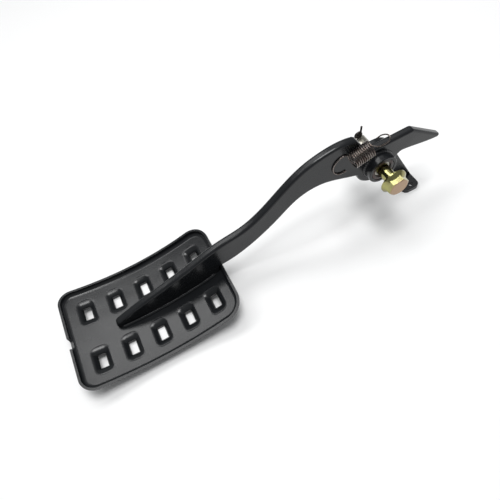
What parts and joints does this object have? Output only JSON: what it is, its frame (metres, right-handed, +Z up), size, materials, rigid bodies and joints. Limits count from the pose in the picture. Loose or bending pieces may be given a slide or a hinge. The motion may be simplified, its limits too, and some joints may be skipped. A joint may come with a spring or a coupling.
{
  "type": "rear brake pedal",
  "caption": "Foot brake pedal: a bowed, slotted steel pad on a plate arm that turns on a sleeved pivot bolt, with a return spring and a stop tab.",
  "frame": {"origin": "on the pivot's axis, in the middle of the arm's thickness", "axes": "+X from the foot pad towards the pivot, +Y along the pivot away from the bolt's head, +Z up, square to the middle of the pad"},
  "size_m": [0.2741, 0.0742, 0.0759],
  "materials": {
    "black_coat": "satin black electrocoat on pressed and cut steel",
    "bush_plastic": "reddish brown bearing plastic with old grease",
    "plain_steel": "pale zinc on turned steel",
    "yellow_zinc": "yellow passivated zinc on cold formed steel",
    "dark_steel": "blackened steel",
    "spring_steel": "bare drawn spring wire, slightly brown"
  },
  "bodies": {
    "pedal": {"pedal_pad": "black_coat", "pedal_arm": "black_coat", "pivot_tube": "black_coat", "bush_near": "bush_plastic", "bush_far": "bush_plastic", "stop_bracket": "black_coat", "return_spring": "spring_steel"},
    "pivot_set": {"spacer_sleeve": "plain_steel", "pivot_bolt": "yellow_zinc", "split_pin": "dark_steel"}
  },
  "joints": [
    {"name": "pivot_turn", "type": "hinge", "parent": "pedal", "child": "pivot_set", "pos_m": [0, 0, 0], "axis": [0, 1, 0], "continuous": true}
  ]
}
